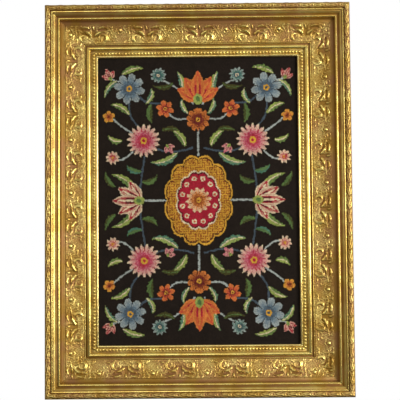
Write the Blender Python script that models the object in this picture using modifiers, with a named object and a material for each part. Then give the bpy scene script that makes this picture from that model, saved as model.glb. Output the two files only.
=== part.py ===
"""A pictorial-size pile rug in a carved and gilded picture frame.

Four mitred rails of one scooped moulding hold a flat rug in the rebate behind their sight edge.
The frame hangs upright: its back lies in the plane y = 0, it faces -Y, and +Z is up. The origin
is on the back of the top rail, half way along it and half way across its flat.
"""

import math

import bmesh
import bpy
from mathutils import Vector

MM = 0.001

# The frame, in millimetres
FRAME_WIDTH = 648.0
FRAME_HEIGHT = 835.0
RAIL_WIDTH = 112.0
RAIL_DEPTH = 55.0
MITRE_GAP = 0.3

# The rebate that takes the rug, and the rug
LIP_BACK = 20.5
REBATE_LEDGE = 6.5
RUG_THICKNESS = 7.0
RUG_GAP = 0.3
RUG_ROUNDING = 1.2

# The moulding's members, as distances in from the outer edge
OUTER_BEAD_RADIUS = 6.6
FIRST_FILLET = (13.6, 16.4)
FIRST_FILLET_HEIGHT = 50.2
SLOPE_END = (21.9, 47.3)
STEP_RADIUS = 5.0
SECOND_FILLET_RADIUS = 2.4
FRIEZE_START = 42.0
FRIEZE_END = 82.0
FRIEZE_LOW = 26.0
FRIEZE_FALL = 8.3
INNER_FILLET = (82.3, 84.2)
INNER_FILLET_HEIGHT = 27.8
GROOVE_HEIGHT = 24.6
TORUS_CENTRE = (91.9, 26.0)
TORUS_RADIUS = 4.6
PEARL_CENTRE = (102.3, 24.6)
PEARL_RADIUS = 3.6
LIP_CENTRE = (109.3, 24.2)
LIP_SIZE = (2.7, 2.6)

# The carved frieze: one repeat is a pair of facing scrolls with a fan of leaves between them
REPEAT = 113.0
CELLS_PER_REPEAT = 24
FRIEZE_ROWS = 10
EDGE_FADE = 4.0
SCROLL_CENTRE = (18.8, 24.0)
SCROLL_RADIUS = 8.8
SCROLL_HALF_WIDTH = 4.3
SCROLL_HEIGHT = 4.2
SCROLL_EYE_RADIUS = 3.6

# Leaves and buds of half a repeat, each from one end to the other along the rail and across it,
# from the middle of the pair and from the frieze's outer edge
LEAVES = (
    # along 1, across 1, along 2, across 2, half width, height
    (0.0, 20.0, 0.0, 4.0, 4.0, 3.2),
    (4.7, 16.0, 14.0, 12.0, 3.8, 4.0),
    (14.0, 12.0, 24.0, 8.0, 3.6, 4.0),
    (14.0, 4.0, 28.0, 4.0, 3.4, 3.2),
    (33.0, 24.0, 42.0, 16.0, 3.6, 2.8),
    (42.0, 16.0, 47.0, 8.0, 3.6, 2.8),
    (33.0, 36.0, 47.0, 32.0, 3.8, 2.4),
    (56.5, 32.0, 56.5, 24.0, 3.8, 2.4),
    (56.5, 11.5, 56.5, 12.5, 5.6, 4.2),
    (0.0, 36.0, 5.0, 32.0, 3.8, 2.4),
)

# The first pair's middle on each rail, from the corner where the rail starts
FIRST_PAIR = {"bottom_rail": 56.0, "right_rail": 56.0, "top_rail": 93.6, "left_rail": 5.0}

FLAT_BACK = RAIL_WIDTH - REBATE_LEDGE
TOP_EDGE = FLAT_BACK / 2
BOTTOM_EDGE = TOP_EDGE - FRAME_HEIGHT
MIDDLE = (TOP_EDGE + BOTTOM_EDGE) / 2

GILDING = (0.46, 0.27, 0.07)
RUG_BLACK = (0.012, 0.010, 0.013)


def clear_scene():
    """Start from an empty scene."""
    for thing in list(bpy.data.objects):
        bpy.data.objects.remove(thing, do_unlink=True)


def finish(name, colour, roughness, metallic):
    """A plain Principled material."""
    material = bpy.data.materials.new(name)
    material.use_nodes = True
    shader = material.node_tree.nodes["Principled BSDF"]
    shader.inputs["Base Color"].default_value = (*colour, 1.0)
    shader.inputs["Roughness"].default_value = roughness
    shader.inputs["Metallic"].default_value = metallic
    return material


def arc(centre, sizes, start, end, steps):
    """Points of an elliptic arc in the section, with angles in degrees."""
    points = []
    for step in range(steps + 1):
        angle = math.radians(start + (end - start) * step / steps)
        across = centre[0] + sizes[0] * math.cos(angle)
        height = centre[1] + sizes[1] * math.sin(angle)
        points.append((across, height))
    return points


def frieze_ground(across):
    """Height of the scooped ground that the carving stands on."""
    share = (FRIEZE_END - across) / (FRIEZE_END - FRIEZE_START)
    return FRIEZE_LOW + FRIEZE_FALL * share * share


def moulding_section():
    """The moulding's section, as distance in from the outer edge and height above the back."""
    bead = OUTER_BEAD_RADIUS
    fillet = SECOND_FILLET_RADIUS
    step_centre = (SLOPE_END[0] + STEP_RADIUS, SLOPE_END[1])
    fillet_centre = (step_centre[0] + fillet, step_centre[1] - STEP_RADIUS)
    cove_centre = (FRIEZE_START, fillet_centre[1])
    cove_width = FRIEZE_START - fillet_centre[0] - fillet
    cove_fall = fillet_centre[1] - frieze_ground(FRIEZE_START)
    points = [(0.0, 0.0)]
    points += arc((bead, RAIL_DEPTH - bead), (bead, bead), 180, 0, 6)
    points += [(across, FIRST_FILLET_HEIGHT) for across in FIRST_FILLET]
    points += arc(step_centre, (STEP_RADIUS, STEP_RADIUS), 180, 270, 3)
    points += arc(fillet_centre, (fillet, fillet), 180, 0, 4)[1:]
    points += arc(cove_centre, (cove_width, cove_fall), 180, 270, 4)[1:-1]
    row = (FRIEZE_END - FRIEZE_START) / FRIEZE_ROWS
    frieze = [FRIEZE_START + row * number for number in range(FRIEZE_ROWS + 1)]
    points += [(across, frieze_ground(across)) for across in frieze]
    points += [(across, INNER_FILLET_HEIGHT) for across in INNER_FILLET]
    points += [(INNER_FILLET[1] + 0.3, GROOVE_HEIGHT)]
    points += [(TORUS_CENTRE[0] - TORUS_RADIUS, GROOVE_HEIGHT)]
    points += arc(TORUS_CENTRE, (TORUS_RADIUS, TORUS_RADIUS), 180, 0, 6)
    points += [(TORUS_CENTRE[0] + TORUS_RADIUS, GROOVE_HEIGHT)]
    points += arc(PEARL_CENTRE, (PEARL_RADIUS, PEARL_RADIUS), 180, 0, 4)
    points += arc(LIP_CENTRE, LIP_SIZE, 180, 0, 4)
    points += [(RAIL_WIDTH, LIP_BACK)]
    points += [(FLAT_BACK, LIP_BACK)]
    points += [(FLAT_BACK, 0.0)]
    return points


def ridge(along, across, leaf):
    """Height of one rounded leaf or bud at a point."""
    start = Vector(leaf[0:2])
    line = Vector(leaf[2:4]) - start
    offset = Vector((along, across)) - start
    share = max(0.0, min(1.0, offset.dot(line) / line.length_squared))
    distance = (offset - line * share).length
    return leaf[5] * max(0.0, 1.0 - (distance / leaf[4]) ** 2)


def carving(along, across):
    """Height of the carving above its ground at a place on the rail."""
    side = abs((along + REPEAT / 2) % REPEAT - REPEAT / 2)
    depth = across - FRIEZE_START
    from_eye = math.hypot(side - SCROLL_CENTRE[0], depth - SCROLL_CENTRE[1])
    ring = 1.0 - ((from_eye - SCROLL_RADIUS) / SCROLL_HALF_WIDTH) ** 2
    eye = 1.0 - (from_eye / SCROLL_EYE_RADIUS) ** 2
    heights = [SCROLL_HEIGHT * ring, SCROLL_HEIGHT * eye]
    heights += [ridge(side, depth, leaf) for leaf in LEAVES]
    frieze_width = FRIEZE_END - FRIEZE_START
    fade = min(1.0, depth / EDGE_FADE, (frieze_width - depth) / EDGE_FADE)
    return max(0.0, fade * max(heights))


def runs_along(edge):
    """True for an edge that lies along the rail."""
    return abs(edge.verts[0].co.x - edge.verts[1].co.x) > 0.01 * MM


def in_frieze(vertex, margin):
    """True for a point on the frieze, widened by a margin on both sides."""
    across = vertex.co.z / MM
    front = -vertex.co.y / MM > LIP_BACK
    return front and FRIEZE_START - margin < across < FRIEZE_END + margin


def cut_mitre(bm, along, outwards):
    """Cut the bar at 45 degrees through a corner, and close the cut."""
    normal = Vector((outwards, 0.0, 1.0)).normalized()
    corner = Vector((along * MM, 0.0, 0.0)) - normal * MITRE_GAP / 2 * MM
    everything = bm.verts[:] + bm.edges[:] + bm.faces[:]
    bmesh.ops.bisect_plane(bm, geom=everything, dist=1e-7, plane_co=corner, plane_no=normal, clear_outer=True)
    open_edges = [edge for edge in bm.edges if edge.is_boundary]
    bmesh.ops.holes_fill(bm, edges=open_edges, sides=0)


def make_rail(name, length, gilding):
    """One mitred rail, with its start corner at the origin and its outer edge along +X."""
    first_pair = FIRST_PAIR[name]
    start = first_pair - REPEAT
    repeats = math.ceil((length - start) / REPEAT)
    bm = bmesh.new()
    section = [bm.verts.new((start * MM, -height * MM, across * MM)) for across, height in moulding_section()]
    end_face = bm.faces.new(section)
    pushed = bmesh.ops.extrude_face_region(bm, geom=[end_face])["geom"]
    far_points = [item for item in pushed if isinstance(item, bmesh.types.BMVert)]
    bmesh.ops.translate(bm, verts=far_points, vec=(repeats * REPEAT * MM, 0.0, 0.0))

    lengthways = [edge for edge in bm.edges if runs_along(edge)]
    carved = [edge for edge in lengthways if in_frieze(edge.verts[0], 0.1)]
    bmesh.ops.subdivide_edges(bm, edges=carved, cuts=repeats * CELLS_PER_REPEAT - 1)
    for vertex in bm.verts:
        if in_frieze(vertex, -0.1):
            vertex.co.y -= carving(vertex.co.x / MM - first_pair, vertex.co.z / MM) * MM

    cut_mitre(bm, 0.0, -1.0)
    cut_mitre(bm, length, 1.0)
    bmesh.ops.triangulate(bm, faces=bm.faces, quad_method="SHORT_EDGE")
    bmesh.ops.recalc_face_normals(bm, faces=bm.faces)
    mesh = bpy.data.meshes.new(name)
    bm.to_mesh(mesh)
    bm.free()
    mesh.materials.append(gilding)
    mesh.shade_smooth()
    mesh.set_sharp_from_angle(angle=math.radians(35))
    return bpy.data.objects.new(name, mesh)


def make_frame(parts):
    """The four rails, each turned a quarter further round the frame than the last."""
    gilding = finish("gilded_moulding", GILDING, 0.38, 0.85)
    half = FRAME_WIDTH / 2
    places = (
        # name, length, quarter turns, corner that it starts from
        ("bottom_rail", FRAME_WIDTH, 0, (-half, BOTTOM_EDGE)),
        ("right_rail", FRAME_HEIGHT, -1, (half, BOTTOM_EDGE)),
        ("top_rail", FRAME_WIDTH, 2, (half, TOP_EDGE)),
        ("left_rail", FRAME_HEIGHT, 1, (-half, TOP_EDGE)),
    )
    for name, length, turns, corner in places:
        rail = make_rail(name, length, gilding)
        rail.rotation_euler = (0.0, turns * math.pi / 2, 0.0)
        rail.location = (corner[0] * MM, 0.0, corner[1] * MM)
        parts.objects.link(rail)


def make_rug(parts):
    """The rug, flat in the rebate, its pile just behind the lip."""
    width = FRAME_WIDTH - 2 * FLAT_BACK - 2 * RUG_GAP
    height = FRAME_HEIGHT - 2 * FLAT_BACK - 2 * RUG_GAP
    pile_face = LIP_BACK - RUG_GAP
    middle = (0.0, -(pile_face - RUG_THICKNESS / 2) * MM, MIDDLE * MM)
    bpy.ops.mesh.primitive_cube_add(size=1.0, location=middle)
    rug = bpy.context.active_object
    rug.name = "rug"
    rug.data.name = "rug"
    rug.scale = (width * MM, RUG_THICKNESS * MM, height * MM)
    bpy.ops.object.transform_apply(location=False, rotation=False, scale=True)
    rounding = rug.modifiers.new("bound edge", "BEVEL")
    rounding.width = RUG_ROUNDING * MM
    rounding.segments = 2
    rug.data.materials.append(finish("black_wool_pile", RUG_BLACK, 0.95, 0.0))
    for collection in list(rug.users_collection):
        collection.objects.unlink(rug)
    parts.objects.link(rug)


clear_scene()
framed_rug = bpy.data.collections.new("framed_rug")
bpy.context.scene.collection.children.link(framed_rug)
make_frame(framed_rug)
make_rug(framed_rug)
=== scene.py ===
import math

import bpy
import numpy as np
from mathutils import Matrix, Vector


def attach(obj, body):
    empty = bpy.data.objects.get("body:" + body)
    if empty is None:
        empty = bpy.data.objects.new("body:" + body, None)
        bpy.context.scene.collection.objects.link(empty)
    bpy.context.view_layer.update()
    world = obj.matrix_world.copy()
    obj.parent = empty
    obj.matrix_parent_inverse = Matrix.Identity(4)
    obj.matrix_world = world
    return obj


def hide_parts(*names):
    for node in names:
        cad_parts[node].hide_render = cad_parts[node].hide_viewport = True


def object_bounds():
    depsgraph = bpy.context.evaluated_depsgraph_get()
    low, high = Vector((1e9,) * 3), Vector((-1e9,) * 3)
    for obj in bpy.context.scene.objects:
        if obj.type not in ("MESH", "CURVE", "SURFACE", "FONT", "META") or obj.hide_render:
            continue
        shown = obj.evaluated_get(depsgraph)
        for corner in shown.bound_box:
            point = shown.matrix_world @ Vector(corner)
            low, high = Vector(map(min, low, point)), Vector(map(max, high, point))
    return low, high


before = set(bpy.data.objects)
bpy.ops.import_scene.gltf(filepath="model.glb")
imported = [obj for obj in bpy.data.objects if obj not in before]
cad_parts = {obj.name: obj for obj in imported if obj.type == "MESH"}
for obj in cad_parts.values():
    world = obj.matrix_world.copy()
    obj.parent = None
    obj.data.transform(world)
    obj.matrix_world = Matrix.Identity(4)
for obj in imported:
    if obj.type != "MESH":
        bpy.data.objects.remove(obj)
cad_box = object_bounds()
MM = 0.001

# The moulding: four mitred lengths of one scooped wooden section, primed, gilded and then rubbed
# with a brown wash that stays in the hollows; the same colour also carries painted shade in the
# recesses. Each is drawn as its section, pushed out to its length, cut through the corners at 45
# degrees and eased along its arrises.

RAIL_WIDTH = 112.0
RAIL_DEPTH = 55.0
LIP_BACK = 20.5
LEDGE = 6.5
MITRE_SETBACK = 0.15
EASING = 0.22
FRIEZE = (42.0, 82.0)
FRIEZE_LOW = 26.0
FRIEZE_FALL = 8.3
BEAD_RADIUS = 6.6
BEAD_CORE = 5.4
PEARL_LINE = 102.3

# How much brown wash and painted shade lies at each place across the moulding: the painted shade
# darkens the step, the cove, the groove, the quirks and the outer side of the second fillet
WASH_AND_SHADE_ACROSS = (
    # from the outer edge in mm, share of wash and painted shade (below zero, a paler leaf)
    (0.0, 0.95),
    (13.3, 0.95),
    (13.9, 0.16),
    (16.2, 0.16),
    (17.0, 0.85),
    (18.5, 0.85),
    (19.0, 0.35),
    (21.2, 0.40),
    (23.0, 0.80),
    (26.6, 0.92),
    (27.4, 0.62),
    (28.4, 0.25),
    (29.2, -0.02),
    (31.8, -0.02),
    (32.4, 0.60),
    (33.0, 0.95),
    (36.6, 0.97),
    (38.6, 0.84),
    (42.0, 0.74),
    (81.9, 0.55),
    (82.5, 0.10),
    (84.1, 0.15),
    (84.6, 0.95),
    (87.3, 0.95),
    (88.6, 0.25),
    (90.2, 0.00),
    (94.0, 0.00),
    (95.6, 0.25),
    (96.6, 0.80),
    (98.7, 0.50),
    (105.6, 0.50),
    (106.4, 0.62),
    (107.4, 0.05),
    (108.3, -0.14),
    (112.0, -0.14),
)

SIDES = (
    # name, length, quarter turns, corner that it starts from, middle of its first pair of scrolls
    ("bottom", cad_box[1][0] - cad_box[0][0], 0, (cad_box[0][0], cad_box[0][2]), 56.0),
    ("right", cad_box[1][2] - cad_box[0][2], -1, (cad_box[1][0], cad_box[0][2]), 56.0),
    ("top", cad_box[1][0] - cad_box[0][0], 2, (cad_box[1][0], cad_box[1][2]), 93.6),
    ("left", cad_box[1][2] - cad_box[0][2], 1, (cad_box[0][0], cad_box[1][2]), 5.0),
)


def start_afresh():
    """Nothing selected, and no mesh open for editing."""
    if bpy.context.mode != "OBJECT":
        bpy.ops.object.mode_set(mode="OBJECT")
    bpy.ops.object.select_all(action="DESELECT")


def pick(piece):
    """Select one piece alone and make it the active one."""
    start_afresh()
    piece.select_set(True)
    bpy.context.view_layer.objects.active = piece


def put_on_side(piece, side):
    """Turn a piece made along +X to its side of the frame, and fix its place in its mesh."""
    turns, corner = side[2:4]
    pick(piece)
    piece.rotation_euler = (0.0, turns * math.pi / 2, 0.0)
    piece.location = (corner[0], 0.0, corner[1])
    bpy.ops.object.transform_apply(location=True, rotation=True, scale=True)


def cut_mitres(piece, length):
    """Cut both ends of a length at 45 degrees and close the cuts."""
    pick(piece)
    for along, outwards in ((0.0, -1.0), (length, 1.0)):
        normal = Vector((outwards, 0.0, 1.0)).normalized()
        point = Vector((along, 0.0, 0.0)) - normal * MITRE_SETBACK * MM
        bpy.ops.object.mode_set(mode="EDIT")
        bpy.ops.mesh.select_all(action="SELECT")
        bpy.ops.mesh.bisect(plane_co=point, plane_no=normal, use_fill=True, clear_outer=True)
        bpy.ops.object.mode_set(mode="OBJECT")


def arc(centre, sizes, start, end, steps):
    """Points of an elliptic arc in the section, with angles in degrees."""
    points = []
    for step in range(steps + 1):
        angle = math.radians(start + (end - start) * step / steps)
        points.append((centre[0] + sizes[0] * math.cos(angle), centre[1] + sizes[1] * math.sin(angle)))
    return points


def frieze_ground(across):
    """Height of the scoop that the carving lies in."""
    share = (FRIEZE[1] - across) / (FRIEZE[1] - FRIEZE[0])
    return FRIEZE_LOW + FRIEZE_FALL * share * share


def moulding_section():
    """The section, as distance in from the outer edge and height above the back, in mm."""
    bead_middle = (BEAD_RADIUS, RAIL_DEPTH - BEAD_RADIUS)
    points = [(0.0, 0.0), (0.0, bead_middle[1] - 1.6), (0.5, bead_middle[1] - 0.4)]
    points += arc(bead_middle, (BEAD_CORE, BEAD_CORE), 180, 0, 10)
    points += [(13.3, 48.4), (13.6, 50.0), (14.2, 50.5), (15.8, 50.5), (16.4, 50.1)]
    points += [(16.8, 49.0), (17.2, 48.0), (18.1, 47.9), (18.5, 48.3), (19.3, 48.1), (20.8, 47.2)]
    points += [(22.2, 45.9), (23.4, 44.5), (24.7, 43.3), (26.0, 42.5), (26.9, 42.3)]
    points += arc((29.3, 42.3), (2.4, 2.5), 180, 0, 8)[1:]
    points += arc((37.6, 42.3), (5.9, 7.7), 180, 268, 7)[1:]
    rows = [FRIEZE[0] + (FRIEZE[1] - FRIEZE[0]) * step / 8 for step in range(9)]
    points += [(across, frieze_ground(across) - 0.4) for across in rows]
    points += [(82.2, 26.4), (82.5, 27.6), (83.0, 28.0), (83.8, 27.9), (84.3, 27.2), (84.5, 24.6)]
    points += [(87.2, 24.4)]
    points += arc((91.9, 26.0), (4.6, 4.7), 180, 0, 12)
    points += [(96.6, 24.4), (98.5, 24.3), (99.0, 25.0), (105.6, 25.0), (106.2, 24.2)]
    points += arc((109.3, 24.2), (2.7, 2.7), 170, 0, 8)
    points += [(RAIL_WIDTH, LIP_BACK), (RAIL_WIDTH - LEDGE, LIP_BACK), (RAIL_WIDTH - LEDGE, 0.0)]
    return points


def linear(colour):
    """An sRGB hex value as a linear colour with alpha."""
    parts = [int(colour[place : place + 2], 16) / 255 for place in (1, 3, 5)]
    return tuple(c / 12.92 if c <= 0.04045 else ((c + 0.055) / 1.055) ** 2.4 for c in parts) + (1.0,)


def add_node(tree, kind, settings=(), links=()):
    """A node with its settings, its socket values and what its sockets are fed from."""
    node = tree.nodes.new(kind)
    for name, value in dict(settings).items():
        setattr(node, name, value)
    for name, value in dict(links).items():
        if isinstance(value, bpy.types.NodeSocket):
            tree.links.new(value, node.inputs[name])
        else:
            node.inputs[name].default_value = value
    return node


def new_material(name):
    """An empty material: its tree, its shader and its object coordinates."""
    material = bpy.data.materials.new(name)
    material.use_nodes = True
    tree = material.node_tree
    shader = tree.nodes["Principled BSDF"]
    place = add_node(tree, "ShaderNodeTexCoord").outputs["Object"]
    return material, tree, shader, place


def mixed(tree, share, first, second):
    """A colour between two, by a share."""
    node = add_node(tree, "ShaderNodeMix", {"data_type": "RGBA"})
    for socket, value in ((node.inputs[0], share), (node.inputs[6], first), (node.inputs[7], second)):
        if isinstance(value, bpy.types.NodeSocket):
            tree.links.new(value, socket)
        else:
            socket.default_value = value
    return node.outputs[2]


def ramp(tree, value, low, high, to_low=0.0, to_high=1.0):
    """A value spread from one range to another, and held at its ends."""
    ends = {"From Min": low, "From Max": high, "To Min": to_low, "To Max": to_high}
    links = {"Value": value, **ends}
    return add_node(tree, "ShaderNodeMapRange", {"interpolation_type": "SMOOTHSTEP"}, links).outputs[0]


def noise(tree, place, scale, detail):
    """A cloudy pattern that stays with the piece."""
    links = {"Vector": place, "Scale": scale, "Detail": detail}
    return add_node(tree, "ShaderNodeTexNoise", links=links).outputs[0]


def reckon(tree, operation, *values):
    """The result of one sum on shader values."""
    return add_node(tree, "ShaderNodeMath", {"operation": operation}, dict(enumerate(values))).outputs[0]


def gilding():
    """Antique gold: metal leaf paint, burnished on the high members, under a thin brown wash.

    The leaf gives a soft metal gleam, and the wash, which also carries painted shade, dulls and darkens the
    hollows and the flats; below zero it makes the leaf paler.
    """
    material, tree, shader, place = new_material("antique_gold_leaf_paint")
    wash_and_shade = add_node(tree, "ShaderNodeAttribute", {"attribute_name": "wash_and_shade"}).outputs["Fac"]
    # cloudy rubbing 30 mm across, and brush grain under 2 mm
    cloud = noise(tree, place, 34.0, 3.0)
    grain = noise(tree, place, 620.0, 4.0)
    uneven = reckon(tree, "MULTIPLY_ADD", cloud, 0.5, -0.25)
    speckle = reckon(tree, "MULTIPLY_ADD", grain, 0.5, -0.25)
    worn_and_shaded = reckon(tree, "ADD", wash_and_shade, reckon(tree, "ADD", uneven, speckle))
    share = ramp(tree, worn_and_shaded, 0.05, 0.95)
    patch = noise(tree, place, 21.0, 2.0)
    brown = mixed(tree, ramp(tree, patch, 0.38, 0.62), linear("#8A6722"), linear("#8A6238"))
    leaf = mixed(tree, ramp(tree, cloud, 0.35, 0.65), linear("#F0DD86"), linear("#E3C268"))
    leaf = mixed(tree, ramp(tree, wash_and_shade, 0.0, -0.5), leaf, linear("#FFF0CC"))
    tree.links.new(mixed(tree, share, leaf, brown), shader.inputs["Base Color"])
    tree.links.new(ramp(tree, share, 0.0, 1.0, 1.0, 0.65), shader.inputs["Metallic"])
    rough = reckon(tree, "MULTIPLY_ADD", grain, 0.12, 0.20)
    dull = reckon(tree, "MULTIPLY_ADD", share, 0.26, rough)
    tree.links.new(dull, shader.inputs["Roughness"])
    bump = add_node(tree, "ShaderNodeBump", links={"Height": grain, "Strength": 0.35, "Distance": 0.00025})
    tree.links.new(bump.outputs[0], shader.inputs["Normal"])
    return material


def bare_wood():
    """Sawn softwood of the frame's back and rebate, unfinished: pale, dry and straight grained."""
    material, tree, shader, place = new_material("sawn_pine")
    along_grain = {"Vector": place, "Scale": (9.0, 60.0, 60.0)}
    rings = noise(tree, add_node(tree, "ShaderNodeMapping", links=along_grain).outputs[0], 5.0, 6.0)
    wood = mixed(tree, ramp(tree, rings, 0.35, 0.7), linear("#C9A77A"), linear("#9C7548"))
    tree.links.new(wood, shader.inputs["Base Color"])
    shader.inputs["Roughness"].default_value = 0.8
    bump = add_node(tree, "ShaderNodeBump", links={"Height": rings, "Strength": 0.3, "Distance": 0.0003})
    tree.links.new(bump.outputs[0], shader.inputs["Normal"])
    return material


def lay_wash_and_shade(piece, shares):
    """Store the share of brown wash and painted shade at each point of a piece."""
    attribute = piece.data.attributes.new("wash_and_shade", "FLOAT", "POINT")
    attribute.data.foreach_set("value", np.asarray(shares, dtype=np.float32))


ANTIQUE_GOLD = gilding()
SAWN_PINE = bare_wood()


def make_moulding(side):
    """One mitred length of the moulding, without its carving."""
    name, length = side[:2]
    section = moulding_section()
    start_afresh()
    bpy.ops.mesh.primitive_circle_add(vertices=len(section), radius=0.05, fill_type="NGON")
    rail = bpy.context.active_object
    rail.name = rail.data.name = name + "_moulding"
    for vertex, (across, height) in zip(rail.data.vertices, section):
        vertex.co = (0.0, -height * MM, across * MM)
    bpy.ops.object.mode_set(mode="EDIT")
    bpy.ops.mesh.select_all(action="SELECT")
    bpy.ops.mesh.extrude_region_move(TRANSFORM_OT_translate={"value": (length, 0.0, 0.0)})
    bpy.ops.mesh.select_all(action="SELECT")
    bpy.ops.mesh.normals_make_consistent(inside=False)
    cut_mitres(rail, length)
    easing = rail.modifiers.new("eased arrises", "BEVEL")
    easing.width = EASING * MM
    easing.segments = 2
    easing.angle_limit = math.radians(32)
    bpy.ops.object.modifier_apply(modifier=easing.name)

    places = np.array([vertex.co for vertex in rail.data.vertices]) / MM
    # Brown wash and painted shade by the place across the section; the low part of the outer side takes full
    # brown wash
    across, share = zip(*WASH_AND_SHADE_ACROSS)
    wash_and_shade_shares = np.interp(places[:, 2], across, share)
    wash_and_shade_shares[-places[:, 1] < LIP_BACK + 2.5] = 0.95
    lay_wash_and_shade(rail, wash_and_shade_shares)
    rail.data.materials.append(ANTIQUE_GOLD)
    rail.data.materials.append(SAWN_PINE)
    for face in rail.data.polygons:
        at_back = face.center.y > -0.1 * MM and face.normal.y > 0.9
        over_ledge = (RAIL_WIDTH - LEDGE - 0.5) * MM < face.center.z < (RAIL_WIDTH - 0.3) * MM
        in_rebate = over_ledge and face.center.y > -(LIP_BACK + 0.1) * MM
        if at_back or in_rebate:
            face.material_index = 1
    bpy.ops.object.shade_smooth_by_angle(angle=math.radians(28))
    put_on_side(rail, side)
    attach(rail, "root")
    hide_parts(name + "_rail")


for side in SIDES:
    make_moulding(side)

# The carved frieze: composition pressed from a mould in long strips and glued into the scoop. One
# repeat is a pair of scrolls under bowed leaves, with small leafage all round and a bud before the
# next pair. It is modelled once, copied along the rail and cut through at the mitres.

REPEAT = 113.0
REPEAT_CELLS = 144
FRIEZE_CELLS = 50
STRIP_DEPTH = 4.0
BUD_RADIUS = 4.4
BUD_DEPTH = 11.6
BUD_HEIGHT = 3.9
EYE_RADIUS = 2.4
EYE_HEIGHT = 2.0
SCROLL_START = 0.72
SCROLL_TURNS = 1.35
SCROLL_STEPS = 130
LEAFAGE_SEED = 11
LEAFAGE_COUNT = 150
LEAFAGE_REACH = 49.5
LEAFAGE_DEPTHS = (2.0, 38.0)
LEAF_STEPS = 28

# The scrolls each side of the middle of a pair: middle along, to the right with the outer edge up,
# and from that edge; reach; way it turns. The ring stands highest at its outer side
SCROLLS = (
    ((18.2, 26.4), 11.4, 1.0),
    ((-19.6, 27.2), 9.6, -1.0),
)

# The large leaves: three points of a bent line, each as distance along from the middle of the pair
# and from the frieze's outer edge, then the widest half width and the height
BOLD_LEAVES = (
    # start, bend, end, half width, height
    ((4.5, 21.5), (11.5, 15.0), (23.5, 13.6), 3.5, 4.9),
    ((-5.5, 21.5), (-12.0, 14.0), (-21.5, 12.4), 3.4, 4.7),
    ((12.5, 6.6), (20.0, 2.4), (29.5, 6.2), 2.5, 4.0),
    ((-10.5, 6.6), (-18.5, 2.4), (-28.0, 6.6), 2.5, 3.9),
    ((0.4, 9.0), (-0.4, 6.0), (0.0, 2.6), 2.3, 3.4),
    ((27.0, 14.0), (33.0, 10.0), (37.5, 13.0), 2.1, 2.6),
    ((-25.0, 14.5), (-31.0, 9.5), (-36.0, 12.0), 2.1, 2.6),
    ((31.5, 31.0), (36.0, 35.5), (42.0, 33.0), 2.1, 2.7),
    ((-32.5, 30.0), (-37.5, 34.5), (-43.0, 31.5), 2.1, 2.7),
    ((56.5, 20.0), (52.0, 17.5), (50.6, 11.5), 1.6, 2.8),
    ((-56.5, 20.0), (-52.0, 17.5), (-50.6, 11.5), 1.6, 2.8),
)

# The deep places between the large leaves, as bent lines with a half width
DEEP_PLACES = (
    ((0.0, 8.5), (0.0, 14.0), (0.0, 22.0), 5.0),
    ((7.5, 24.0), (13.5, 20.2), (24.0, 19.6), 2.3),
    ((-8.5, 24.4), (-14.0, 20.0), (-23.5, 18.8), 2.3),
    ((10.0, 10.6), (18.0, 8.0), (28.0, 9.8), 1.6),
    ((-9.0, 10.4), (-17.0, 8.0), (-26.0, 9.6), 1.6),
)


def bent_line(start, bend, end, steps):
    """Points along a bent line."""
    share = np.linspace(0.0, 1.0, steps)[:, None]
    start, bend, end = np.array(start), np.array(bend), np.array(end)
    return start * (1 - share) ** 2 + 2 * bend * share * (1 - share) + end * share**2


def rounded(distance, half_width, height):
    """A rounded ridge, by the distance from its crest."""
    return height * np.sqrt(np.clip(1.0 - (distance / half_width) ** 2, 0.0, 1.0))


def near_line(along, depth, line):
    """Least distance of every point of the relief from a line."""
    gaps = [np.hypot(along - point[0], depth - point[1]) for point in line]
    return np.min(np.array(gaps), axis=0)


def small_leafage():
    """The small curled leaves that fill the ground, none of them like its neighbour."""
    random = np.random.default_rng(LEAFAGE_SEED)
    leaves = []
    for leaf in range(LEAFAGE_COUNT):
        middle = np.array((random.uniform(-LEAFAGE_REACH, LEAFAGE_REACH), random.uniform(*LEAFAGE_DEPTHS)))
        length, turn = random.uniform(2.4, 4.6), random.uniform(0.0, math.pi)
        curl = random.uniform(-2.6, 2.6)
        half_width, top = random.uniform(1.0, 1.8), random.uniform(1.7, 2.7)
        run = np.array((math.cos(turn), math.sin(turn)))
        bend = middle + curl * np.array((-run[1], run[0]))
        leaves.append((middle - run * length, bend, middle + run * length, half_width, top))
    return leaves


def leaf_on(height, along, depth, leaf):
    """The relief with one leaf more: widest past its middle, its edge notched."""
    start, bend, end, half_width, top = leaf
    for number, point in enumerate(bent_line(start, bend, end, LEAF_STEPS)):
        share = number / (LEAF_STEPS - 1)
        width = half_width * (0.30 + 0.70 * math.sin(math.pi * min(share * 1.12 + 0.12, 1.0)) ** 0.8)
        width *= 1.0 + 0.20 * math.sin(share * 5 * math.pi)
        distance = np.hypot(along - point[0], depth - point[1])
        height = np.maximum(height, rounded(distance, width, top * (0.74 + 0.26 * share)))
    return height


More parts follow.
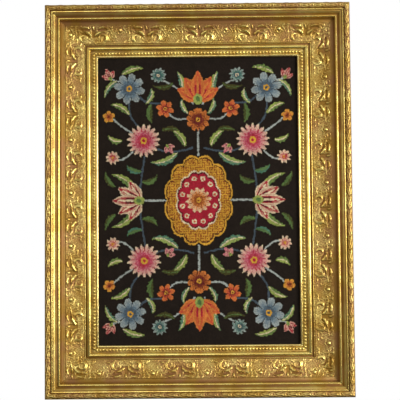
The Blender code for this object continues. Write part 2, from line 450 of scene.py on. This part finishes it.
def scroll_on(height, along, depth, scroll):
    """The relief with one scroll more: a ring that winds in, broad and sloping at its outer side."""
    middle, reach, way = scroll
    for turn in np.linspace(0.0, 1.0, SCROLL_STEPS):
        angle = math.pi * SCROLL_START - turn * SCROLL_TURNS * 2 * math.pi
        outwards, down = way * math.cos(angle), math.sin(angle)
        radius = reach * (1.0 - 0.62 * turn**0.9)
        outer = math.exp(-((math.cos(angle) - 1.0) ** 2) * 3.0) * (turn < 0.75)
        inner = math.exp(-((math.cos(angle) + 1.0) ** 2) * 6.0)
        width = 1.5 + 1.3 * outer + 0.3 * inner - 0.3 * turn
        crest = middle[0] + radius * outwards, middle[1] + 0.9 * radius * down
        distance = np.hypot(along - crest[0], depth - crest[1])
        top = 1.3 + 2.6 * outer + 0.8 * inner
        height = np.maximum(height, rounded(distance, width * (1.0 - 0.35 * outer), top))
        slope = crest[0] + 2.0 * outer * outwards, crest[1] + 1.8 * outer * down
        distance = np.hypot(along - slope[0], depth - slope[1])
        height = np.maximum(height, rounded(distance, width * (1.0 + 0.25 * outer), 1.1 + 1.9 * outer))
    eye = np.hypot(along - middle[0], depth - middle[1])
    return np.maximum(height, rounded(eye, EYE_RADIUS, EYE_HEIGHT))


def carved_height(along, depth):
    """Height of the carving above the scoop: ground, small leaves, scrolls, large leaves, buds."""
    # The lumps mirror about the middle, so that each repeat meets the next without a step
    beside = np.abs(along)
    lumps = 0.5 + 0.25 * np.sin(beside * 1.7 + 2.0 * np.sin(depth * 0.7))
    lumps += 0.25 * np.sin(depth * 1.9 + 1.7 * np.sin(beside * 0.8))
    height = 0.7 + 0.9 * lumps
    for leaf in small_leafage():
        height = leaf_on(height, along, depth, leaf)
    for start, bend, end, half_width in DEEP_PLACES:
        apart = near_line(along, depth, bent_line(start, bend, end, 24))
        height *= np.clip((apart / half_width - 0.55) / 0.6, 0.06, 1.0)
    for scroll in SCROLLS:
        height = scroll_on(height, along, depth, scroll)
    for leaf in BOLD_LEAVES:
        height = leaf_on(height, along, depth, leaf)
    bud = np.hypot(beside - REPEAT / 2, depth - BUD_DEPTH)
    height = np.maximum(height, rounded(bud, BUD_RADIUS, BUD_HEIGHT))
    border = np.clip(np.minimum(depth, FRIEZE[1] - FRIEZE[0] - depth) / 0.9, 0.0, 1.0)
    return np.clip(height, 0.0, None) * border


def hollows(height):
    """The share of brown wash and painted shade on a relief: more where a place lies below what is round it,
    where shade falls, and less on high places, which are painted lighter as a highlight.
    """
    around = height.copy()
    for step in range(1, 4):
        for axis in (0, 1):
            around = (around + np.roll(around, step, axis) + np.roll(around, -step, axis)) / 3
    return np.clip(0.86 + 0.26 * (around - height) - 0.15 * height, 0.22, 1.0)


def relief_repeat(name, cells, place):
    """One repeat of a relief: a grid whose points a formula puts in place, and their share of wash and
    painted shade.
    """
    start_afresh()
    bpy.ops.mesh.primitive_grid_add(x_subdivisions=cells[0], y_subdivisions=cells[1], size=1.0)
    repeat = bpy.context.active_object
    repeat.name = repeat.data.name = name
    points = np.array([vertex.co for vertex in repeat.data.vertices])
    along = np.rint((points[:, 0] + 0.5) * cells[0]).astype(int)
    around = np.rint((points[:, 1] + 0.5) * cells[1]).astype(int)
    places, wash_and_shade_shares = place(cells)
    repeat.data.vertices.foreach_set("co", places[along, around].ravel() * MM)
    lay_wash_and_shade(repeat, wash_and_shade_shares[along, around])
    repeat.data.update()
    return repeat


def frieze_places(cells):
    """Points of one repeat of the frieze, in mm, and their share of wash and painted shade."""
    along, across = np.meshgrid(
        np.linspace(-REPEAT / 2, REPEAT / 2, cells[0] + 1),
        np.linspace(FRIEZE[0], FRIEZE[1], cells[1] + 1),
        indexing="ij",
    )
    height = carved_height(-along, across - FRIEZE[0])
    wash_and_shade_shares = hollows(height)
    # Painted shade: more wash on the outer half of the frieze, which faces inwards on the scoop
    outer_half_shade = np.clip((62.0 - across) / 20.0, 0.0, 1.0)
    wash_and_shade_shares = np.clip(wash_and_shade_shares + 0.16 * outer_half_shade, 0.0, 1.0)
    return np.stack([along, -(frieze_ground(across) + height), across], axis=-1), wash_and_shade_shares


def run_along(repeat, name, side, pitch, first):
    """Copies of a repeat end to end along a rail, joined, cut at the mitres and closed behind."""
    length = side[1]
    copies = []
    middle = first - pitch
    while middle - pitch / 2 < length / MM:
        copy = repeat.copy()
        copy.data = repeat.data.copy()
        copy.location.x = middle * MM
        bpy.context.collection.objects.link(copy)
        copies.append(copy)
        middle += pitch
    start_afresh()
    for copy in copies:
        copy.select_set(True)
    bpy.context.view_layer.objects.active = copies[0]
    bpy.ops.object.join()
    strip = bpy.context.active_object
    strip.name = strip.data.name = side[0] + "_" + name
    bpy.ops.object.transform_apply(location=True, rotation=True, scale=True)
    bpy.ops.object.mode_set(mode="EDIT")
    bpy.ops.mesh.select_all(action="SELECT")
    bpy.ops.mesh.remove_doubles(threshold=0.00002)
    bpy.ops.object.mode_set(mode="OBJECT")
    for along, outwards in ((0.0, -1.0), (length, 1.0)):
        normal = Vector((outwards, 0.0, 1.0)).normalized()
        point = Vector((along, 0.0, 0.0)) - normal * MITRE_SETBACK * MM
        bpy.ops.object.mode_set(mode="EDIT")
        bpy.ops.mesh.select_all(action="SELECT")
        bpy.ops.mesh.bisect(plane_co=point, plane_no=normal, use_fill=False, clear_outer=True)
        bpy.ops.object.mode_set(mode="OBJECT")
    bpy.ops.object.mode_set(mode="EDIT")
    bpy.ops.mesh.select_all(action="DESELECT")
    bpy.ops.mesh.select_mode(type="EDGE")
    bpy.ops.mesh.select_non_manifold()
    bpy.ops.mesh.extrude_region_move(TRANSFORM_OT_translate={"value": (0.0, STRIP_DEPTH * MM, 0.0)})
    bpy.ops.mesh.edge_face_add()
    bpy.ops.mesh.select_all(action="SELECT")
    bpy.ops.mesh.normals_make_consistent(inside=False)
    bpy.ops.object.mode_set(mode="OBJECT")
    strip.data.materials.clear()
    strip.data.materials.append(ANTIQUE_GOLD)
    bpy.ops.object.shade_smooth_by_angle(angle=math.radians(60))
    put_on_side(strip, side)
    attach(strip, "root")


frieze_repeat = relief_repeat("frieze_repeat", (REPEAT_CELLS, FRIEZE_CELLS), frieze_places)
for side in SIDES:
    run_along(frieze_repeat, "frieze", side, REPEAT, side[4])
bpy.data.objects.remove(frieze_repeat)

# The outer bead: a half-round of laurel, leaves lying one over the next with berries between them,
# pressed in composition like the frieze.

LAUREL_PITCH = 28.25
LAUREL_CELLS = (36, 18)
LAUREL_RADIUS = 5.7
LAUREL_LEAVES = (
    # start, bend and end as distance along and angle round the bead in degrees, half width, height
    ((-14.0, 100.0), (-6.0, 150.0), (1.0, 128.0), 2.3, 1.3),
    ((-13.0, 78.0), (-6.0, 40.0), (1.5, 56.0), 2.3, 1.3),
    ((0.0, 96.0), (7.0, 128.0), (14.6, 104.0), 2.4, 1.4),
    ((1.0, 76.0), (8.0, 28.0), (14.0, 50.0), 2.2, 1.2),
    ((2.0, 150.0), (7.0, 170.0), (13.0, 146.0), 1.8, 1.0),
    ((-9.0, 92.0), (-4.0, 84.0), (3.0, 92.0), 2.1, 1.5),
)
LAUREL_BERRIES = ((6.6, 84.0), (-12.6, 132.0), (12.8, 78.0))


def laurel_places(cells):
    """Points of one repeat of the laurel bead, in mm, and their share of wash and painted shade."""
    along, angle = np.meshgrid(
        np.linspace(-LAUREL_PITCH / 2, LAUREL_PITCH / 2, cells[0] + 1),
        np.linspace(180.0, 0.0, cells[1] + 1),
        indexing="ij",
    )
    round_bead = math.radians(1.0) * BEAD_RADIUS
    height = np.zeros_like(along)
    for start, bend, end, half_width, top in LAUREL_LEAVES:
        for number, point in enumerate(bent_line(start, bend, end, 24)):
            width = half_width * (0.35 + 0.65 * math.sin(math.pi * min(number / 23 + 0.1, 1.0)))
            for shift in (-LAUREL_PITCH, 0.0, LAUREL_PITCH):
                distance = np.hypot(along - point[0] + shift, (angle - point[1]) * round_bead)
                height = np.maximum(height, rounded(distance, width, top))
    for berry in LAUREL_BERRIES:
        distance = np.hypot(along - berry[0], (angle - berry[1]) * round_bead)
        height = np.maximum(height, rounded(distance, 1.9, 1.5))
    height *= np.clip(np.minimum(angle, 180.0 - angle) / 14.0, 0.0, 1.0)
    radius = LAUREL_RADIUS + height
    turned = np.radians(angle)
    across = BEAD_RADIUS + radius * np.cos(turned)
    level = RAIL_DEPTH - BEAD_RADIUS - 0.2 + radius * np.sin(turned)
    # Brown wash between the leaves, with painted highlight where it thins on the raised leaves and berries,
    # and painted shade where it thickens on the outer side of the bead
    wash_and_shade_shares = np.clip(0.98 - 0.34 * height + 0.15 * (angle > 150), 0.0, 1.0)
    return np.stack([along, -level, across], axis=-1), wash_and_shade_shares


laurel_repeat = relief_repeat("laurel_repeat", LAUREL_CELLS, laurel_places)
for side in SIDES:
    run_along(laurel_repeat, "laurel_bead", side, LAUREL_PITCH, LAUREL_PITCH / 2)
bpy.data.objects.remove(laurel_repeat)

# The pearls: a string of small half-sunk beads beside the lip. One bead is turned and copied at
# an even pitch along each rail, centred between the mitres.

PEARL_PITCH = 7.0
PEARL_RADIUS = 3.4
PEARL_LEVEL = 25.2


def make_pearls(side):
    """The string of pearls of one rail."""
    name, length = side[:2]
    room = length / MM - 2 * PEARL_LINE
    count = int(room / PEARL_PITCH)
    first = PEARL_LINE + (room - (count - 1) * PEARL_PITCH) / 2
    start_afresh()
    bpy.ops.mesh.primitive_uv_sphere_add(
        segments=12,
        ring_count=8,
        radius=PEARL_RADIUS * MM,
        location=(first * MM, -PEARL_LEVEL * MM, PEARL_LINE * MM),
        rotation=(math.pi / 2, 0.0, 0.0),
    )
    pearls = bpy.context.active_object
    pearls.name = pearls.data.name = name + "_pearls"
    bpy.ops.object.transform_apply(location=True, rotation=True, scale=True)
    row = pearls.modifiers.new("row", "ARRAY")
    row.count = count
    row.use_relative_offset = False
    row.use_constant_offset = True
    row.constant_offset_displace = (PEARL_PITCH * MM, 0.0, 0.0)
    row.use_merge_vertices = False
    bpy.ops.object.modifier_apply(modifier=row.name)
    # Brown wash at the foot of each pearl, thinning towards its front: painted shade low down and a painted
    # highlight on the front
    fronts = np.array([-vertex.co.y for vertex in pearls.data.vertices]) / MM - PEARL_LEVEL
    lay_wash_and_shade(pearls, np.clip(0.66 - 0.12 * fronts, 0.0, 1.0))
    pearls.data.materials.append(ANTIQUE_GOLD)
    bpy.ops.object.shade_smooth()
    put_on_side(pearls, side)
    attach(pearls, "root")


for side in SIDES:
    make_pearls(side)

# The rug: hand-knotted wool pile, sheared flat, behind the sight edge of the frame. Each face of
# the grid is one knot of about 1.7 mm with its own colour, and the motifs stand a little proud of
# the black ground. The design is a medallion with palmettes, rosettes and leaves on vines, drawn
# for one quarter and mirrored both ways.

RUG_SIZE = (436.4, 623.4)
RUG_KNOTS = (257, 367)
RUG_MIDDLE = (cad_box[0][2] + cad_box[1][2]) / 2 / MM
PILE_FACE = 20.0
PILE_FOOT = 13.2
PILE_ROUNDING = 1.2
EMBOSS = 0.15
KNOT_SHAKE = 1.5
DYE_UNEVENNESS = 0.45

WOOL = {
    "ground": "#1A1410",
    "cream": "#BCAE92",
    "blush": "#B58A7C",
    "pink": "#A65366",
    "crimson": "#8C1C2C",
    "wine": "#4E141D",
    "coral": "#A8482E",
    "orange": "#B26C34",
    "gold": "#B28730",
    "ochre": "#93651F",
    "rust": "#74381B",
    "brown": "#432514",
    "lime": "#7F8C48",
    "green": "#4A6236",
    "olive": "#38371B",
    "teal": "#3B6459",
    "mist": "#8B9391",
    "blue": "#546775",
    "slate": "#39444E",
}

# Round flowers, seen from above
ROSETTES = (
    # across, up, radius, petals, notch, roundness, edge, petal, throat, heart
    (146.0, 240.0, 33.0, 8, 0.40, 2.0, "mist", "blue", "slate", "gold"),
    (116.0, 128.0, 36.0, 17, 0.30, 0.9, "cream", "pink", "crimson", "gold"),
    (0.0, 172.0, 25.0, 10, 0.30, 2.4, "orange", "rust", "wine", "gold"),
    (70.0, 196.0, 19.0, 6, 0.42, 1.4, "orange", "coral", "wine", "gold"),
    (182.0, 92.0, 15.0, 9, 0.36, 1.0, "cream", "blush", "crimson", "gold"),
    (84.0, 268.0, 17.0, 11, 0.36, 1.0, "mist", "teal", "slate", "cream"),
    (190.0, 180.0, 13.0, 5, 0.38, 2.0, "gold", "orange", "rust", "wine"),
)

# Palmettes, seen from the side as a fan of petals that opens along one direction
PALMETTES = (
    # foot across, foot up, direction in degrees, reach, petals, half fan, edge, petal, throat
    (0.0, 216.0, 90.0, 62.0, 5, 62.0, "orange", "coral", "crimson"),
    (126.0, 0.0, 0.0, 58.0, 5, 64.0, "cream", "crimson", "wine"),
    (66.0, 116.0, 232.0, 20.0, 3, 50.0, "blush", "pink", "wine"),
    (186.0, 262.0, 64.0, 24.0, 3, 46.0, "blush", "crimson", "wine"),
)

# Vines and leaves: three points of a bent line, width in mm and colours
VINES = (
    ((0.0, 96.0), (0.0, 130.0), (0.0, 160.0), 3.3, "mist"),
    ((12.0, 112.0), (60.0, 96.0), (92.0, 112.0), 3.3, "slate"),
    ((20.0, 176.0), (50.0, 168.0), (60.0, 184.0), 3.0, "mist"),
    ((80.0, 208.0), (112.0, 206.0), (124.0, 222.0), 3.3, "slate"),
    ((10.0, 206.0), (30.0, 236.0), (72.0, 256.0), 3.0, "mist"),
    ((128.0, 160.0), (150.0, 180.0), (146.0, 208.0), 3.3, "slate"),
    ((140.0, 104.0), (160.0, 84.0), (172.0, 88.0), 3.0, "mist"),
    ((142.0, 146.0), (166.0, 160.0), (180.0, 174.0), 3.0, "mist"),
    ((126.0, 8.0), (120.0, 60.0), (114.0, 94.0), 3.3, "slate"),
    ((168.0, 256.0), (180.0, 256.0), (188.0, 266.0), 3.0, "mist"),
    ((70.0, 0.0), (100.0, 0.0), (130.0, 0.0), 3.3, "mist"),
)
LEAVES = (
    ((28.0, 118.0), (34.0, 140.0), (56.0, 150.0), 7.5, "lime", "green"),
    ((46.0, 100.0), (72.0, 74.0), (100.0, 82.0), 7.5, "lime", "teal"),
    ((76.0, 150.0), (52.0, 158.0), (40.0, 148.0), 5.5, "olive", "olive"),
    ((136.0, 20.0), (150.0, 50.0), (184.0, 56.0), 7.5, "lime", "green"),
    ((118.0, 40.0), (96.0, 36.0), (88.0, 54.0), 6.0, "green", "olive"),
    ((122.0, 62.0), (144.0, 60.0), (152.0, 76.0), 5.5, "green", "teal"),
    ((100.0, 205.0), (108.0, 180.0), (98.0, 166.0), 6.5, "green", "olive"),
    ((110.0, 208.0), (92.0, 226.0), (100.0, 240.0), 5.5, "lime", "teal"),
    ((148.0, 186.0), (164.0, 206.0), (186.0, 206.0), 6.5, "lime", "green"),
    ((34.0, 238.0), (30.0, 258.0), (44.0, 276.0), 6.0, "lime", "teal"),
    ((54.0, 250.0), (70.0, 236.0), (96.0, 246.0), 5.5, "olive", "olive"),
    ((174.0, 256.0), (196.0, 244.0), (198.0, 222.0), 5.5, "lime", "teal"),
    ((160.0, 272.0), (140.0, 288.0), (116.0, 284.0), 6.5, "lime", "green"),
    ((22.0, 186.0), (40.0, 204.0), (32.0, 218.0), 5.0, "lime", "teal"),
    ((164.0, 128.0), (182.0, 124.0), (192.0, 140.0), 6.0, "lime", "green"),
    ((178.0, 30.0), (196.0, 40.0), (198.0, 62.0), 5.5, "green", "olive"),
)


def blend_wool(first, second, share):
    """Colours between two named wools."""
    first, second = np.array(linear(WOOL[first])[:3]), np.array(linear(WOOL[second])[:3])
    return first + (second - first) * np.asarray(share)[..., None]


def lay_knots(canvas, mask, colours, rise):
    """Tie one colour, or a colour for each knot, where the mask is."""
    colour, raised = canvas
    colour[mask] = colours[mask] if np.ndim(colours) > 1 else colours
    raised[mask] = rise


def one_wool(name):
    """The colour of one named wool."""
    return np.array(linear(WOOL[name])[:3])


def tie_vine(canvas, across, up, vine):
    """A vine of even width in one colour."""
    start, bend, end, width, name = vine
    line = bent_line(start, bend, end, 60)
    distance = near_line(across, up, line)
    lay_knots(canvas, distance < width / 2 + 0.3, one_wool(name), 0.5)


def tie_leaf(canvas, across, up, leaf):
    """A pointed leaf with a light vein, its halves in two greens."""
    start, bend, end, half_width, light, dark = leaf
    line = bent_line(start, bend, end, 50)
    reach = np.hypot(across[None] - line[:, 0, None, None], up[None] - line[:, 1, None, None])
    nearest = np.argmin(reach, axis=0)
    distance = np.min(reach, axis=0)
    share = nearest / 49
    width = half_width * np.sin(np.pi * (0.05 + 0.93 * share) ** 0.8) ** 0.9
    width = width * (1.0 + 0.14 * np.sin(share * 9 * np.pi))
    step = line[np.minimum(nearest + 1, 49)] - line[np.maximum(nearest - 1, 0)]
    side = step[..., 0] * (up - line[nearest][..., 1]) - step[..., 1] * (across - line[nearest][..., 0])
    inside = distance < width
    barbs = 0.5 + 0.5 * np.sin(share * 34.0 + distance * 0.9)
    lay_knots(canvas, inside & (side > 0), blend_wool(light, dark, 0.25 * barbs), 1.0)
    lay_knots(canvas, inside & (side <= 0), blend_wool(dark, light, 0.40 * barbs), 1.0)
    vein = "cream" if light == "lime" else "green"
    lay_knots(canvas, inside & (distance < 0.9) & (share < 0.86), one_wool(vein), 1.0)


def tie_rosette(canvas, across, up, rosette):
    """A round flower with a light rim, streaked petals, a dark throat and a bright heart."""
    middle, height, radius, petals, notch, roundness, edge, petal, throat, heart = rosette
    reach = np.hypot(across - middle, up - height)
    turn = np.arctan2(up - height, across - middle)
    phase = np.abs((turn * petals / (2 * np.pi) + 0.25) % 1.0 - 0.5) * 2
    rim = radius * (1.0 - notch * phase ** (roundness + 0.4))
    share = reach / rim
    streaks = 0.5 + 0.5 * np.cos(phase * np.pi * (5 if petals < 12 else 2))
    inside = share < 1.0
    tone = np.clip((share - 0.45) * 1.5 + 0.7 * (streaks - 0.5), 0, 1)
    lay_knots(canvas, inside, blend_wool(petal, edge, tone), 1.0)
    lay_knots(canvas, inside & (phase > 0.84) & (share > 0.36), one_wool(throat), 0.6)
    lay_knots(canvas, share < 0.40 + 0.16 * streaks, blend_wool(throat, petal, 0.55 * streaks), 1.0)
    lay_knots(canvas, reach < radius * 0.20, one_wool(heart), 1.2)
    lay_knots(canvas, reach < radius * 0.09, one_wool(throat), 1.2)


def tie_palmette(canvas, across, up, palmette):
    """A flower seen from the side: petals spread from a foot, with a green cup below."""
    middle, height, direction, reach, petals, fan, edge, petal, throat = palmette
    facing = math.radians(direction)
    forward = (across - middle) * math.cos(facing) + (up - height) * math.sin(facing)
    aside = -(across - middle) * math.sin(facing) + (up - height) * math.cos(facing)
    for number in sorted(range(petals), key=lambda n: -abs(n - (petals - 1) / 2)):
        lean = math.radians(fan * (2 * number / (petals - 1) - 1))
        out = forward * math.cos(lean) + aside * math.sin(lean)
        off = -forward * math.sin(lean) + aside * math.cos(lean)
        long = reach * (1.0 - 0.20 * abs(2 * number / (petals - 1) - 1))
        share = np.clip(out / long, 0.0, 1.0)
        width = reach * 0.24 * np.sin(np.pi * np.clip(share, 0, 1) ** 0.75) ** 0.8
        inside = (out > 0) & (out < long) & (np.abs(off) < width)
        near_rim = np.abs(off) / np.maximum(width, 0.1)
        streaks = 0.5 + 0.5 * np.cos(off * 1.5)
        tone = np.clip(1.9 * (near_rim - 0.45) + 0.35 * share + 0.7 * (streaks - 0.5), 0, 1)
        lay_knots(canvas, inside, blend_wool(petal, edge, tone), 1.0)
        lay_knots(canvas, inside & (share < 0.5) & (near_rim < 0.45), one_wool(throat), 0.9)
        lay_knots(canvas, inside & (near_rim < 0.16) & (share < 0.8), one_wool(edge), 1.0)
    cup = np.hypot(forward / 1.3, aside) < reach * 0.15
    lay_knots(canvas, cup, one_wool("lime"), 1.0)
    lay_knots(canvas, np.hypot((forward - 1.0) / 1.3, aside) < reach * 0.075, one_wool("green"), 1.0)


def tie_medallion(canvas, across, up):
    """The middle: a lobed shape in golds, plaited in ochre and rust, round a crimson field."""
    turn = np.arctan2(up / 98.0, across / 74.0)
    lobes = np.abs(np.sin(turn * 6.0)) ** 0.7
    reach = np.hypot(across / 74.0, up / 98.0) / (0.90 + 0.10 * lobes)
    weave = np.sign(np.sin(across * 0.42 + up * 0.21) * np.sin(up * 0.42 - across * 0.21)) * 0.5 + 0.5
    strands = 0.5 + 0.5 * np.sin(across * 1.25 * weave + up * 1.25 * (1 - weave))
    lay_knots(canvas, reach < 1.0, one_wool("gold"), 1.0)
    lay_knots(canvas, reach < 0.955, one_wool("brown"), 0.7)
    lay_knots(canvas, reach < 0.925, blend_wool("ochre", "gold", strands), 1.0)
    lay_knots(canvas, (reach < 0.925) & (strands < 0.25), one_wool("rust"), 0.7)
    lay_knots(canvas, reach < 0.66, one_wool("cream"), 1.0)
    lay_knots(canvas, reach < 0.625, one_wool("wine"), 0.7)
    lay_knots(canvas, reach < 0.59, one_wool("crimson"), 1.0)
    for number in range(12):
        angle = (number + 0.5) * math.pi / 6
        bud = (0.48 * 74.0 * math.cos(angle), 0.48 * 98.0 * math.sin(angle))
        near = np.hypot(across - bud[0], up - bud[1])
        lay_knots(canvas, near < 5.2, one_wool("cream"), 1.1)
        lay_knots(canvas, near < 2.6, one_wool("coral"), 1.1)
    tie_rosette(canvas, across, up, (0.0, 0.0, 27.0, 12, 0.30, 1.6, "cream", "orange", "rust", "gold"))


def rug_design(across, up):
    """The colour of each knot and how far it stands proud, from 0 to about 1."""
    quarter_across, quarter_up = np.abs(across), np.abs(up)
    colour = np.tile(one_wool("ground"), across.shape + (1,))
    canvas = (colour, np.zeros(across.shape))
    for vine in VINES:
        tie_vine(canvas, quarter_across, quarter_up, vine)
    for leaf in LEAVES:
        tie_leaf(canvas, quarter_across, quarter_up, leaf)
    for palmette in PALMETTES:
        tie_palmette(canvas, quarter_across, quarter_up, palmette)
    for rosette in ROSETTES:
        tie_rosette(canvas, quarter_across, quarter_up, rosette)
    tie_medallion(canvas, across, up)
    return canvas


def wool_pile():
    """Sheared wool: matt, slightly fuzzy at grazing angles, each knot a little uneven in dye."""
    material, tree, shader, place = new_material("hand_knotted_wool")
    knots = add_node(tree, "ShaderNodeAttribute", {"attribute_name": "knots"}).outputs["Color"]
    fibre = noise(tree, place, 1400.0, 3.0)
    dye = noise(tree, place, 60.0, 2.0)
    shade = ramp(tree, reckon(tree, "ADD", fibre, dye), 0.6, 1.4, 0.78, 1.18)
    scaled = {"Vector": knots, "Scale": shade}
    toned = add_node(tree, "ShaderNodeVectorMath", {"operation": "SCALE"}, scaled)
    tree.links.new(toned.outputs[0], shader.inputs["Base Color"])
    shader.inputs["Roughness"].default_value = 0.92
    shader.inputs["Specular IOR Level"].default_value = 0.12
    shader.inputs["Sheen Weight"].default_value = 0.04
    shader.inputs["Sheen Roughness"].default_value = 0.5
    bump = add_node(tree, "ShaderNodeBump", links={"Height": fibre, "Strength": 0.5, "Distance": 0.0004})
    tree.links.new(bump.outputs[0], shader.inputs["Normal"])
    return material


start_afresh()
bpy.ops.mesh.primitive_grid_add(
    x_subdivisions=RUG_KNOTS[0], y_subdivisions=RUG_KNOTS[1], size=1.0, rotation=(math.pi / 2, 0.0, 0.0)
)
rug = bpy.context.active_object
rug.name = rug.data.name = "knotted_rug"
bpy.ops.object.transform_apply(location=False, rotation=True, scale=True)
bpy.ops.object.mode_set(mode="EDIT")
bpy.ops.mesh.select_all(action="SELECT")
bpy.ops.transform.resize(
    value=(RUG_SIZE[0] * MM, 1.0, RUG_SIZE[1] * MM), center_override=(0.0, 0.0, 0.0)
)
bpy.ops.mesh.select_all(action="DESELECT")
bpy.ops.mesh.select_mode(type="EDGE")
bpy.ops.mesh.select_non_manifold()
bpy.ops.mesh.extrude_region_move(TRANSFORM_OT_translate={"value": (0.0, (PILE_FACE - PILE_FOOT) * MM, 0.0)})
bpy.ops.mesh.edge_face_add()
bpy.ops.mesh.select_all(action="SELECT")
bpy.ops.mesh.normals_make_consistent(inside=False)
bpy.ops.object.mode_set(mode="OBJECT")

points = np.array([vertex.co for vertex in rug.data.vertices]) / MM
tied_colour, tied_rise = rug_design(points[None, :, 0], points[None, :, 2])
border = np.minimum(RUG_SIZE[0] / 2 - np.abs(points[:, 0]), RUG_SIZE[1] / 2 - np.abs(points[:, 2]))
rounding = PILE_ROUNDING * np.clip(1.0 - border / 3.0, 0.0, 1.0) ** 2
pile = points[:, 1] < 0.1
jitter = 0.05 * np.sin(points[:, 0] * 3.1 + 1.7 * np.sin(points[:, 2] * 2.3))
level = PILE_FACE - rounding + (EMBOSS * tied_rise[0] + jitter) * (border > 3.0)
points[:, 1] = np.where(pile, -level, -PILE_FOOT)
points[:, 2] += RUG_MIDDLE
rug.data.vertices.foreach_set("co", points.ravel() * MM)
rug.data.update()

faces = np.array([face.center for face in rug.data.polygons]) / MM
scatter = np.sin(faces[:, 0] * 12.9898 + faces[:, 2] * 78.233) * 43758.5453
scatter = scatter - np.floor(scatter) - 0.5
shake = KNOT_SHAKE * np.stack([scatter, (scatter * 7.31) % 1.0 - 0.5])
knot_colour, knot_rise = rug_design(faces[None, :, 0] + shake[0], faces[None, :, 2] - RUG_MIDDLE + shake[1])
uneven_dye = 1.0 + DYE_UNEVENNESS * scatter
# The back shows the dark knots between undyed warps, so it has one dull brown
knot_colour[0][faces[:, 1] > -PILE_FOOT - 0.05] = linear("#463C31")[:3]
knots = rug.data.attributes.new("knots", "FLOAT_COLOR", "FACE")
four = np.concatenate([knot_colour[0] * uneven_dye[:, None], np.ones((len(faces), 1))], axis=1)
knots.data.foreach_set("color", four.astype(np.float32).ravel())
rug.data.materials.append(wool_pile())
bpy.ops.object.shade_smooth_by_angle(angle=math.radians(40))
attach(rug, "root")
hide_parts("rug")

# Light and camera: a window to the right of the camera, a dim pale room, and a white backdrop that
# only the camera sees.

LENS = 162.0
CAMERA_PLACE = (0.0630, -3.8185, -0.72225)
CAMERA_TURN = (-0.907, 5.380, -0.458)
MIDDLE = Vector((0.0, 0.0, (cad_box[0][2] + cad_box[1][2]) / 2))


def soft_light(name, azimuth, elevation, distance, size, power, colour):
    """A panel of light that faces the frame, round to the right by its azimuth."""
    azimuth, elevation = math.radians(azimuth), math.radians(elevation)
    level = math.cos(elevation)
    away = Vector((math.sin(azimuth) * level, -math.cos(azimuth) * level, math.sin(elevation)))
    bpy.ops.object.light_add(type="AREA", location=MIDDLE + away * distance)
    lamp = bpy.context.active_object
    lamp.name = name
    lamp.rotation_euler = away.to_track_quat("Z", "Y").to_euler()
    lamp.data.shape = "RECTANGLE"
    lamp.data.size, lamp.data.size_y = size
    lamp.data.energy = power
    lamp.data.color = linear(colour)[:3]


start_afresh()
soft_light("window", 50.0, 5.0, 2.5, (0.9, 1.6), 66.0, "#FFFAF2")
soft_light("bright_wall", 84.0, 4.0, 2.4, (1.3, 1.6), 2.0, "#FFF9EE")
soft_light("room_front", -4.0, 4.0, 4.6, (3.0, 1.5), 33.0, "#FFFAF2")
soft_light("left_glow", -36.0, 6.0, 3.2, (1.2, 1.6), 10.0, "#FFF9EE")

world = bpy.data.worlds.new("pale_room")
bpy.context.scene.world = world
world.use_nodes = True
sky = world.node_tree
backdrop = add_node(sky, "ShaderNodeBackground", links={"Color": (1.0, 1.0, 1.0, 1.0), "Strength": 1.0})
facing = add_node(sky, "ShaderNodeTexCoord").outputs["Generated"]
climb = add_node(sky, "ShaderNodeSeparateXYZ", links={"Vector": facing}).outputs["Z"]
light_by_height = ramp(sky, climb, -0.35, 0.60, 0.18, 0.88)
room = add_node(sky, "ShaderNodeBackground", links={"Color": linear("#CFCAC0"), "Strength": light_by_height})
seen = add_node(sky, "ShaderNodeLightPath").outputs["Is Camera Ray"]
choice = {0: seen, 1: room.outputs[0], 2: backdrop.outputs[0]}
both = add_node(sky, "ShaderNodeMixShader", links=choice)
sky.links.new(both.outputs[0], sky.nodes["World Output"].inputs["Surface"])

yaw, pitch, roll = (math.radians(angle) for angle in CAMERA_TURN)
ahead = Vector((math.sin(yaw) * math.cos(pitch), math.cos(yaw) * math.cos(pitch), math.sin(pitch)))
level = Vector((math.cos(yaw), -math.sin(yaw), 0.0))
above = level.cross(ahead)
across = level * math.cos(roll) + above * math.sin(roll)
upward = above * math.cos(roll) - level * math.sin(roll)
bpy.ops.object.camera_add(location=CAMERA_PLACE)
camera = bpy.context.active_object
camera.rotation_euler = Matrix((across, upward, -ahead)).transposed().to_euler()
camera.data.lens = LENS
camera.data.sensor_width = 36.0
camera.data.clip_end = 50.0
bpy.context.scene.camera = camera
bpy.context.scene.view_settings.view_transform = "Standard"
